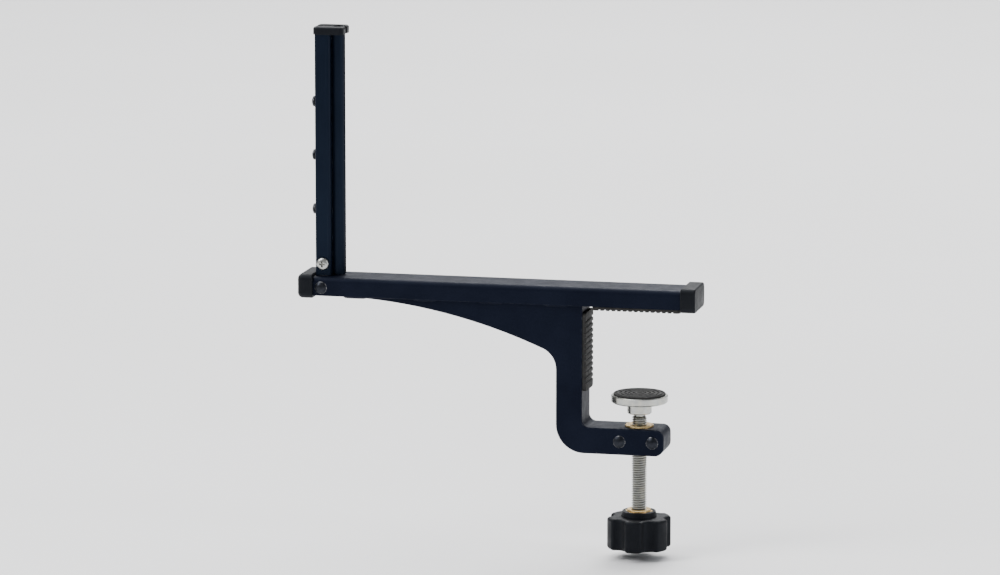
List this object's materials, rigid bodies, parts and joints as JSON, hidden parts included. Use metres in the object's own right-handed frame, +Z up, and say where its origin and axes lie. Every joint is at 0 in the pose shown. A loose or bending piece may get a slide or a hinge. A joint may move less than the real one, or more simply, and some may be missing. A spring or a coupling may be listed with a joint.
{
  "type": "table tennis net clamp",
  "caption": "Table-edge net post bracket: a hollow arm with an upright slotted post, a C-shaped jaw and a knob-driven screw with a swivel pad.",
  "frame": {"origin": "centre of the underside of the seat pad, on the table top's surface", "axes": "+X runs in over the table and -X out past its edge, +Z is up, and Y runs along the table's edge; the net lies along X"},
  "size_m": [0.215, 0.034, 0.2735],
  "materials": {
    "powder_coat": "satin",
    "post_finish": "satin",
    "moulded_plastic": "matte",
    "rubber": "matte",
    "brass": "satin",
    "zinc_steel": "satin",
    "stud_steel": "gloss"
  },
  "bodies": {
    "bracket": {"rail": "powder_coat", "rail_outer_cap": "moulded_plastic", "rail_inner_cap": "moulded_plastic", "front_cheek": "powder_coat", "rear_cheek": "powder_coat", "belly_strip": "powder_coat", "throat_strip": "powder_coat", "seat_pad": "rubber", "edge_pad": "rubber", "jaw_block": "powder_coat", "thread_bush": "brass", "jaw_rivets": "stud_steel", "post_foot": "zinc_steel", "foot_rivet": "stud_steel"},
    "post": {"post_body": "post_finish", "post_cap": "moulded_plastic", "lower_cord_stud": "stud_steel", "middle_cord_stud": "stud_steel", "upper_cord_stud": "stud_steel", "height_lock_washer": "zinc_steel", "height_lock_nut": "zinc_steel"},
    "lock_screw": {"height_lock_screw": "zinc_steel"},
    "ball_tip": {"ball_tip": "zinc_steel"},
    "screw": {"clamp_screw": "zinc_steel", "knob": "moulded_plastic", "knob_insert": "brass", "knob_cover": "moulded_plastic"},
    "swivel_pad": {"swivel_cup": "zinc_steel", "pad_rubber": "rubber"}
  },
  "joints": [
    {"name": "post_height", "type": "slide", "parent": "bracket", "child": "post", "axis": [0, 0, 1], "range_m": [0, 0.012]},
    {"name": "height_lock_turn", "type": "hinge", "parent": "post", "child": "lock_screw", "pos_m": [-0.1703, 0, 0.0185], "axis": [0, -1, 0], "range_deg": [0, 180]},
    {"name": "clamp_travel", "type": "slide", "parent": "bracket", "child": "ball_tip", "axis": [0, 0, 1], "range_m": [-0.005, 0.03]},
    {"name": "clamp_turn", "type": "hinge", "parent": "ball_tip", "child": "screw", "pos_m": [0, 0, -0.0532], "axis": [0, 0, 1], "range_deg": [-1445, 8645]},
    {"name": "pad_tilt", "type": "hinge", "parent": "ball_tip", "child": "swivel_pad", "pos_m": [0, 0, -0.0532], "axis": [0, 1, 0], "range_deg": [-5, 5]}
  ],
  "couplings": [
    {"joint": "clamp_turn", "follows": "clamp_travel", "rad_per_m": 5026.5}
  ]
}
